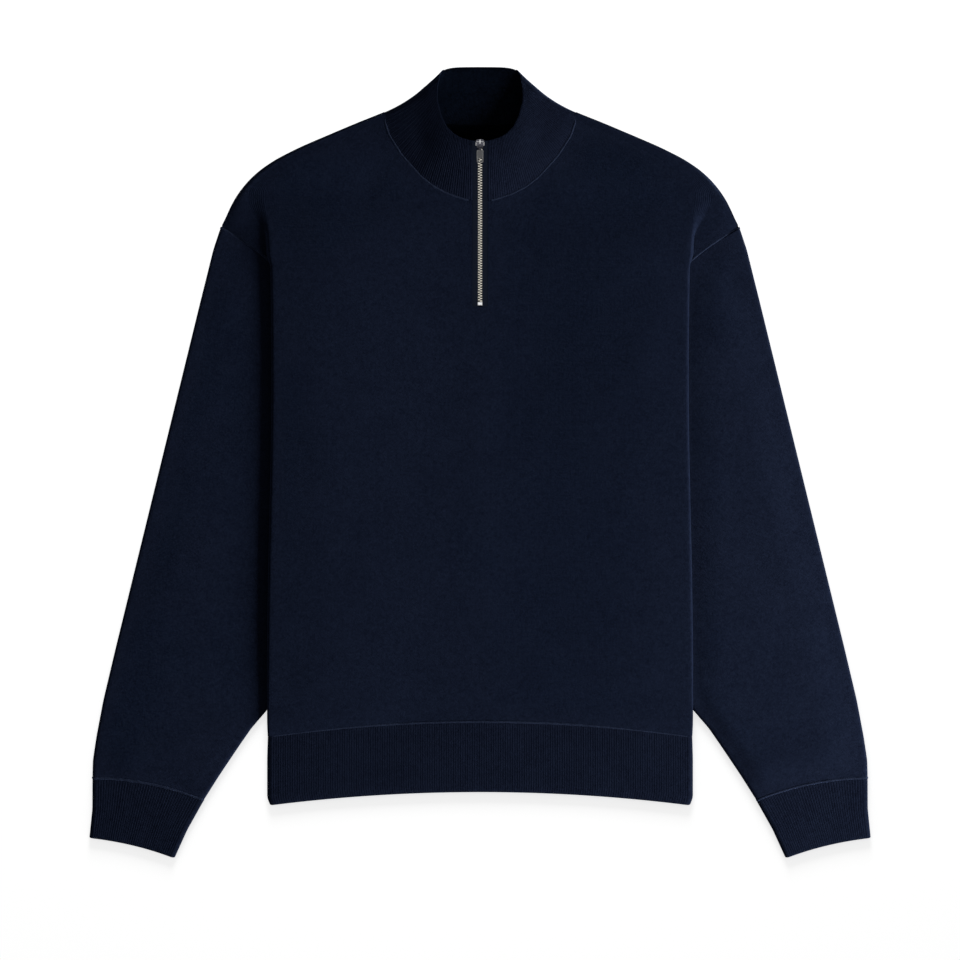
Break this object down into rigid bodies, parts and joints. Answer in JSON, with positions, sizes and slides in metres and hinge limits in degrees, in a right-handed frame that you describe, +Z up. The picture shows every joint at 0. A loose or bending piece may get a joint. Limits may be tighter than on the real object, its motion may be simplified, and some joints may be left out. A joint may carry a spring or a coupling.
{
  "type": "quarter zip sweater",
  "caption": "Long-sleeved navy knit sweater laid flat, with a ribbed stand collar, a short front zip, and ribbed cuffs and hem.",
  "frame": {"origin": "on the surface it lies on, under the middle of the sweater's box", "axes": "+X towards the wearer's left sleeve, +Y from the hem to the collar, +Z up from the surface, out of the front"},
  "size_m": [0.7806, 0.79, 0.0211],
  "materials": {
    "knit": "fine felted navy wool knit",
    "rib_knit": "navy rib knit",
    "zip_tape": "woven navy tape",
    "zip_teeth": "pale gold, satin",
    "zip_metal": "bright silver"
  },
  "bodies": {
    "garment": {"front_panel": "knit", "back_panel": "knit", "sleeve_left": "knit", "sleeve_right": "knit", "cuff_left": "rib_knit", "cuff_right": "rib_knit", "hem_rib": "rib_knit", "collar": "rib_knit", "zip_tape_left": "zip_tape", "zip_tape_right": "zip_tape", "zip_teeth": "zip_teeth", "zip_bottom_stop": "zip_metal", "zip_slider": "zip_metal"},
    "pull_tab": {"zip_pull_tab": "zip_metal"}
  },
  "joints": [
    {"name": "pull_tab_hinge", "type": "hinge", "parent": "garment", "child": "pull_tab", "pos_m": [0, 0.31401, 0.01954], "axis": [-1, 0, 0], "range_deg": [0, 185]}
  ]
}
